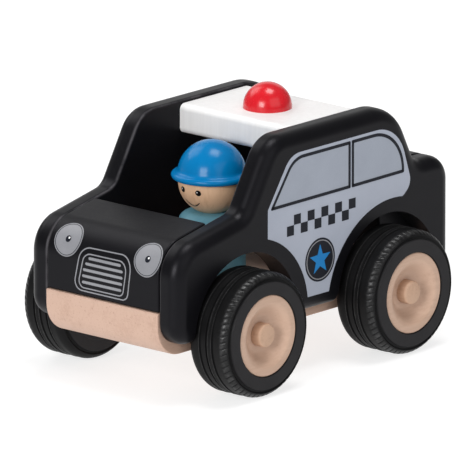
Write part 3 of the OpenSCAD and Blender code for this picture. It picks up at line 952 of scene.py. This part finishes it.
@dataclass
class NosePrint:
    """Headlights and grille printed on the bonnet's curved front."""

    front_x: float = 71.5
    bend_z: float = 44.71
    bend_r: float = 13.0
    lamps: Points = ((-17.6, 51.9), (19.75, 51.1))
    lamp_size: Point = (6.1, 6.45)
    ring_w: float = 0.22
    outer: Corners = (
        (-13.9, 34.5, 3.4), (11.6, 34.4, 3.0), (13.9, 50.9, 5.3), (-10.3, 50.5, 5.0),
    )
    inner: Corners = (
        (-11.9, 35.6, 2.6), (9.5, 35.6, 2.4), (11.7, 48.5, 3.6), (-8.7, 48.4, 3.6),
    )
    line_w: float = 0.45
    bars: Corners = (
        (-6.6, 8.4, 46.7), (-8.0, 9.4, 44.6), (-9.1, 9.3, 42.35), (-9.5, 9.1, 40.1), (-9.6, 8.7, 37.85),
    )
    bar_half: float = 0.5
    bar_round: float = 0.49
    strip: float = 0.8
    fine_strip: float = 0.5

    def lay(self, u: float, v: float, w: float) -> Vector:
        """Place on the bonnet from the distance across and the distance up along its face."""
        if v <= self.bend_z:
            return Vector((self.front_x + w, u, v)) * MM
        a, r = (v - self.bend_z) / self.bend_r, self.bend_r + w
        x, z = self.front_x - self.bend_r + r * math.cos(a), self.bend_z + r * math.sin(a)
        return Vector((x, u, z)) * MM

    def oval(self, centre: Point, scale: float) -> list[Point]:
        """Outline of a lamp, smaller by a scale."""
        (x, z), (a, b) = centre, self.lamp_size
        return [(x + u * a * scale, z + v * b * scale) for u, v in circle((0, 0), 1.0, 60)]

    def lamp(self, label: str, centre: Point) -> list[Dressed]:
        """Films of one headlight, each with its finish."""
        dot = (centre[0] + 0.05, centre[1] - 0.1)
        glint = (dot[0] + 0.35, dot[1] + 0.4)
        rows = (
            ("lamp", centre, 1.0, 0.0, self.strip, 0.0, Finishes.silver),
            ("lamp_ring", centre, 0.93, self.ring_w, self.strip, FILM, Finishes.line),
            ("lamp_dot", dot, 0.19, 0.0, self.fine_strip, FILM, Finishes.line),
            ("lamp_glint", glint, 0.06, 0.0, 0.0, 2 * FILM, Finishes.glint),
        )
        return [(Film(f"{label}_{name}", self.oval(middle, scale), *sizes).make(self.lay), finish)
                for name, middle, scale, *sizes, finish in rows]

    def bar(self, start: float, end: float, v: float) -> Obj:
        """Models one bar of the grille, with round ends."""
        r, low, high = self.bar_round, v - self.bar_half, v + self.bar_half
        outline = rounded(((start, low, r), (end, low, r), (end, high, r), (start, high, r)), 30)
        return Film("bar", outline, strip=self.fine_strip).make(self.lay)

    def build(self) -> list[Dressed]:
        """Models the films, each with its finish."""
        films: list[Dressed] = []
        for label, centre in zip(("right", "left"), self.lamps):
            films += self.lamp(label, centre)
        for name, corners, step in (("grille_outer", self.outer, 6), ("grille_inner", self.inner, 8)):
            line = Film(name, rounded(corners, step), self.line_w, self.strip)
            films.append((line.make(self.lay), Finishes.silver))
        films.append((Bench.join("grille_bars", [self.bar(*row) for row in self.bars]), Finishes.silver))
        return films

    def dress(self) -> None:
        """Models and finishes the print."""
        for film, finish in self.build():
            fit(film, finish, Body.CAR)


@dataclass
class Wheel:
    """Dished wooden hub in a rubber tyre with grooves, lips, a notched outer shoulder and a thin back."""

    label: str
    body: Body
    side: Side
    x: float
    start_y: float = 29.4
    width: float = 18.7
    tyre_r: float = 22.2
    shoulder: float = 4.0
    tread_sink: float = 0.15
    lane_pitch: float = 2.8
    lane_depth: float = 0.45
    teeth: int = 60
    steps_a_tooth: int = 8
    tooth_depth: float = 0.26
    tooth_skew: float = 1.5
    notch_r: float = 20.3
    notch_angles: Point = (36.0, 82.0)
    notch_fades: Point = (8.0, 12.0)
    hub_r: float = 14.4
    hub_bore: float = 4.25
    rib_depth: float = 1.2
    dish_depth: float = 4.2

    @property
    def centre(self) -> Vector:
        """Middle of the tyre's inner wall."""
        return Vector((self.x, self.side.value * self.start_y, AXLE_Z)) * MM

    @property
    def axis(self) -> Vector:
        """Direction outwards from the car."""
        return Vector((0, self.side.value, 0))

    def half_shoulder(self) -> list[Point]:
        """Half profile from the flat wall over its ring groove to the tread, as (radius, depth)."""
        r, s = self.tyre_r, self.shoulder
        turns = [math.radians(a) for a in range(57, 3, -6)]
        bulge = [(r - s + s * math.cos(a), s - s * math.sin(a)) for a in turns]
        groove = [(18.75, 0.0), (18.95, 0.12), (19.2, 0.85), (19.75, 1.0)]
        return [*groove, *bulge, (r - self.tread_sink, s + 0.4)]

    def tread(self) -> list[Point]:
        """Profile from the outer wall over the tread to the inner wall, as (radius, along)."""
        r, w, low = self.tyre_r, self.width, self.tyre_r - self.tread_sink
        floor, pitch, sides = low - self.lane_depth, self.lane_pitch, self.half_shoulder()
        lanes: list[Point] = []
        for middle, lip in ((w / 2 + pitch, -1), (w / 2, 1), (w / 2 - pitch, -1)):
            lane = [(low, middle + 0.46), (floor, middle + 0.3), (floor, middle - 0.3), (low, middle - 0.46)]
            ridge = [(low, middle + 0.85 * lip), (r, middle + 0.68 * lip), (r, middle + 0.55 * lip)]
            lanes += [*ridge, *lane] if lip > 0 else [*lane, *reversed(ridge)]
        return [*[(a, w - d) for a, d in sides], *lanes, *reversed(sides)]

    def tyre(self) -> Obj:
        """Models the tyre."""
        w, bead = self.width, self.hub_r + 0.05
        deep = bead - self.rib_depth
        # The first five points are a thin rubber back over the hub's inner face: a closed inner wall that also
        # darkens the wheel's shaded inside as painted shade.
        profile = [(bead + 0.8, 0.0), (bead + 0.5, -0.3), (9.2, -0.3), (9.2, -0.02), (bead, -0.02), (bead, 4.9),
                   (deep, 4.9), (deep, 13.8), (bead, 13.8), (bead, w - 0.3), (bead + 0.3, w), *self.tread()]
        around = self.teeth * self.steps_a_tooth
        obj = Bench.lathe(f"{self.label}_tyre_rubber", profile, self.centre, self.axis, around)
        wall = obj.data.attributes.new("wall", "FLOAT", "POINT")
        wear_and_highlight = obj.data.attributes.new("wear_and_highlight", "FLOAT", "POINT")
        for vertex, pale, shiny in zip(obj.data.vertices, wall.data, wear_and_highlight.data):
            spoke = vertex.co - self.centre
            along = spoke.dot(self.axis) / MM
            spoke -= self.axis * along * MM
            r, depth = spoke.length / MM, min(along, w - along)
            turn = math.atan2(spoke.z, spoke.x) / (2 * math.pi) * self.teeth * self.steps_a_tooth
            share = self.notch(r, w - along)
            on_lip = r > self.tyre_r - 0.02 and depth > self.shoulder
            # Flat walls get the lighter rubber; the darker rest of the tyre is painted shade.
            pale.value = 1.0 if depth < 0.2 and r < 19.0 else 0.0
            # Lips and notches are marked for gloss and for the lighter colour, which is partly dust and partly
            # a painted highlight.
            shiny.value = 1.0 if on_lip else share
            if share > 0 and round(turn + self.tooth_skew * depth) % self.steps_a_tooth in (0, 1):
                vertex.co -= spoke.normalized() * (share * self.tooth_depth * MM)
                shiny.value = 0.2
        Bench.smooth(obj, SHARP_TURNED)
        return obj

    def notch(self, r: float, depth: float) -> float:
        """Share of the full notch depth at a place on the tyre.

        Args:
            r: Radius in mm.
            depth: Distance from the outer wall in mm.

        Returns:
            A share from 0 to 1.
        """
        if depth > self.shoulder or r < self.notch_r:
            return 0.0
        angle = math.degrees(math.atan2(r - (self.tyre_r - self.shoulder), self.shoulder - depth))
        (first, last), (fade_in, fade_out) = self.notch_angles, self.notch_fades
        return max(0.0, min(1.0, (angle - first) / fade_in, (last - angle) / fade_out))

    def hub(self) -> Obj:
        """Models the hub."""
        face, r, bore, depth = self.width - 0.3, self.hub_r, self.hub_bore, self.dish_depth
        deep, turns = r - self.rib_depth, [k / 24 for k in range(25)]
        dish = [(12.3 + (6.0 - 12.3) * t, face - depth * (1 - math.cos(math.pi * t)) / 2) for t in turns]
        rim = arc((r - 0.5, face - 0.5), 0.5, 0, 90, 4)
        profile = [(bore, -3.0), (8.6, -3.0), (9.0, -2.6), (9.0, 0.0), (r, 0.0), (r, 4.85), (deep, 4.85),
                   (deep, 13.85), (r, 13.85), *rim, *dish, (bore, face - depth)]
        obj = Bench.lathe(f"{self.label}_hub_wood", profile, self.centre, self.axis, 120)
        Bench.smooth(obj, SHARP_TURNED)
        return obj

    def dress(self) -> None:
        """Models and finishes the wheel."""
        fit(self.tyre(), Finishes.rubber, self.body, f"{self.label}_tyre")
        fit(self.hub(), Finishes.turned, self.body, f"{self.label}_hub")


@dataclass
class Axle:
    """Dowel with softly rounded ends."""

    label: str
    body: Body
    x: float
    r: float = 4.2
    half_length: float = 47.8
    edge_r: float = 0.9

    def build(self) -> Obj:
        """Models the dowel."""
        end = arc((self.r - self.edge_r, self.half_length - 1.1), self.edge_r, 0, 80, 6)
        upper = [*end, (self.r - 2.4, self.half_length - 0.06), (0.0, self.half_length)]
        lower = [(r, -h) for r, h in reversed(upper)]
        centre, axis = Vector((self.x, 0, AXLE_Z)) * MM, Vector((0, 1, 0))
        obj = Bench.lathe(f"{self.label}_dowel", [*lower, *upper], centre, axis, 64)
        Bench.smooth(obj, SHARP_TURNED)
        return obj

    def dress(self) -> None:
        """Models and finishes the dowel."""
        fit(self.build(), Finishes.dowel, self.body, self.label)


@dataclass
class Driver:
    """Peg figure: turned body, ball head with a printed face, and a helmet."""

    head_z: float = 66.4
    head_r: float = 11.8
    brim_z: float = 67.3
    eyes: tuple[tuple[str, Point], ...] = (("right", (-3.43, -1.74)), ("left", (3.49, -2.05)))
    eye_r: float = 1.05

    def at(self, z: float) -> Vector:
        """Point on the figure's axis."""
        return Vector((*SEAT, z)) * MM

    def torso(self) -> Obj:
        """Models the body with its peg."""
        turns = [math.radians(a) for a in range(0, 91, 6)]
        shoulder = [(7.3 + 4.3 * math.cos(a), 19.4 + 3.4 * math.sin(a)) for a in turns]
        profile = [(0.0, -8.0), (3.5, -8.0), (4.0, -7.5), (4.0, 0.0), (11.4, 0.0), (11.9, 0.5), *shoulder,
                   (2.55, 22.8), (2.55, 14.3), (0.0, 14.3)]
        obj = Bench.lathe("driver_body", profile, self.at(DECK_Z), Vector((0, 0, 1)), 96)
        Bench.smooth(obj, SHARP_TURNED)
        return obj

    def helmet(self) -> Obj:
        """Models the helmet, with a rolled brim that runs softly into the dome."""
        roll = arc((13.05, 1.2), 1.2, -90, 75, 12)
        dome = arc((0.0, 1.4), 12.1, 9, 90, 22)
        profile = [(0.0, 5.5), (7.55, 5.5), (7.55, 0.0), *roll, (12.75, 2.5), (12.35, 2.72), *dome[:-1],
                   (0.0, 13.5)]
        obj = Bench.lathe("driver_hat", profile, self.at(self.brim_z), Vector((0, 0, 1)), 120)
        Bench.smooth(obj, 60)
        return obj

    def lay(self, u: float, v: float, w: float) -> Vector:
        """Place on the front of the head from the distance across and up from its middle."""
        ahead = math.sqrt(self.head_r ** 2 - u * u - v * v)
        return self.at(self.head_z) + Vector((ahead, u, v)) * MM * (self.head_r + w) / self.head_r

    def smile(self) -> list[Point]:
        """Outline of the smile, which thins towards its ends."""
        steps = [k / 20 for k in range(21)]
        path = [(-3.2 + 6.2 * t, -5.5 - 0.35 * t - 1.65 * 4 * t * (1 - t)) for t in steps]
        half = [0.16 + 0.14 * math.sin(math.pi * t) for t in steps]
        lower = [(a, b - h) for (a, b), h in zip(path, half)]
        upper = [(a, b + h) for (a, b), h in zip(path, half)]
        return [*lower, *reversed(upper)]

    def face(self) -> list[Dressed]:
        """Models two eyes with a glint and a smile."""
        films: list[Dressed] = []
        for label, (u, v) in self.eyes:
            eye = Film(f"{label}_eye", circle((u, v), self.eye_r, 30), strip=0.3, lift=0.02)
            films.append((eye.make(self.lay), Finishes.pupil))
            glint = circle((u - 0.3, v + 0.25), 0.2, 12)
            films.append((Film(f"{label}_eye_glint", glint, lift=0.09).make(self.lay), Finishes.glint))
        smile = Film("smile", self.smile(), strip=0.4, lift=0.02)
        return [*films, (smile.make(self.lay), Finishes.pupil)]

    def dress(self) -> None:
        """Models and finishes the figure."""
        fit(self.torso(), Finishes.light_blue, Body.DRIVER, "driver_torso")
        fit(self.helmet(), Finishes.blue, Body.DRIVER, "driver_helmet")
        keep("driver_head", Finishes.head)
        keep("neck_dowel", Finishes.dowel)
        for film, finish in self.face():
            fit(film, finish, Body.DRIVER)


@dataclass(frozen=True)
class Lamp:
    """Soft white studio light, with its place and size in metres and its power in watts."""

    name: str
    place: Corner
    size: Point
    power: float

    def hang(self, aim: Vector) -> None:
        """Hangs the light and turns it to a point.

        Args:
            aim: Point that it shines at, in metres.
        """
        Bench.clear()
        place = Vector(self.place)
        turn = (aim - place).to_track_quat("-Z", "Y").to_euler()
        bpy.ops.object.light_add(type="AREA", location=place, rotation=turn)
        lamp = bpy.context.object
        lamp.name = self.name
        lamp.data.shape = "RECTANGLE"
        lamp.data.size, lamp.data.size_y = self.size
        lamp.data.energy = self.power


@dataclass
class Studio:
    """Pale floor, soft light and the camera."""

    target: Corner = (1.29, -0.136, 41.445)
    heading: float = 41.70
    elevation: float = 14.81
    distance: float = 5038.7
    lens: float = 1094.8
    sensor: float = 36.0
    floor_size: float = 5.0
    floor_tones: Point = (0.315, 0.325)
    floor_glow: float = 0.74
    sky_strength: float = 0.22
    lamps: tuple[Lamp, ...] = (
        Lamp("top_light", (-0.08, 0.14, 1.25), (0.5, 0.5), 8.0),
        Lamp("front_light", (1.40, 0.30, 0.55), (0.6, 0.6), 14.5),
        Lamp("left_light", (0.3, 2.0, 1.1), (2.0, 1.6), 11.0),
        Lamp("right_light", (0.10, -1.1, 1.05), (0.9, 0.9), 6.0),
        Lamp("back_light", (-1.6, -1.45, 0.9), (2.2, 1.4), 6.5),
    )

    def floor(self) -> None:
        """Lays the floor."""
        Bench.clear()
        bpy.ops.mesh.primitive_grid_add(x_subdivisions=8, y_subdivisions=8, size=self.floor_size)
        floor = bpy.context.object
        floor.name = "floor"
        g = Graph("pale_floor")
        dark, light = ((tone, tone, tone) for tone in self.floor_tones)
        g.feed("Base Color", g.ramp(g.noise(g.place, 3.0, 2.0), ((0.3, dark), (0.7, light))))
        g.constants(Roughness=0.7, Emission_Color=(1.0, 1.0, 1.0, 1.0), Emission_Strength=self.floor_glow)
        floor.data.materials.append(g.material)

    def sky(self) -> None:
        """Even white light from all round."""
        world = bpy.data.worlds.new("studio")
        world.use_nodes = True
        background = world.node_tree.nodes["Background"]
        background.inputs["Color"].default_value = (1.0, 1.0, 1.0, 1.0)
        background.inputs["Strength"].default_value = self.sky_strength
        scene = bpy.context.scene
        scene.world = world
        scene.view_settings.view_transform = "Standard"

    def camera(self) -> None:
        """Stands the camera at the photograph's angle."""
        aim = Vector(self.target) * MM
        turn, rise = math.radians(self.heading), math.radians(self.elevation)
        out = Vector((math.cos(rise) * math.cos(turn), math.cos(rise) * math.sin(turn), math.sin(rise)))
        Bench.clear()
        bpy.ops.object.camera_add(location=aim + out * self.distance * MM,
                                  rotation=(-out).to_track_quat("-Z", "Y").to_euler())
        camera = bpy.context.object
        camera.data.lens = self.lens
        camera.data.sensor_width = self.sensor
        camera.data.clip_end = 50.0
        bpy.context.scene.camera = camera

    def dress(self) -> None:
        """Sets up the whole studio."""
        self.floor()
        self.sky()
        for lamp in self.lamps:
            lamp.hang(Vector(self.target) * MM)
        self.camera()


def main() -> None:
    """Builds the car piece by piece and sets up the studio."""
    logging.basicConfig(level=logging.INFO, format="%(message)s")
    parts = [
        ChassisBoard(),
        SidePanel(Side.LEFT),
        SidePanel(Side.RIGHT),
        EndBlock("bonnet", "bonnet_block", 46.7, ahead=True),
        EndBlock("boot", "boot_block", -43.6, ahead=False, top=63.78),
        Upperworks(),
        SidePrint(Side.LEFT),
        SidePrint(Side.RIGHT),
        NosePrint(),
        Axle("front_axle", Body.FRONT_WHEELS, FRONT_AXLE),
        Axle("rear_axle", Body.REAR_WHEELS, REAR_AXLE),
        Wheel("front_left", Body.FRONT_WHEELS, Side.LEFT, FRONT_AXLE),
        Wheel("front_right", Body.FRONT_WHEELS, Side.RIGHT, FRONT_AXLE),
        Wheel("rear_left", Body.REAR_WHEELS, Side.LEFT, REAR_AXLE),
        Wheel("rear_right", Body.REAR_WHEELS, Side.RIGHT, REAR_AXLE),
        Driver(),
        Studio(),
    ]
    for part in parts:
        part.dress()


if __name__ == "__main__":
    main()
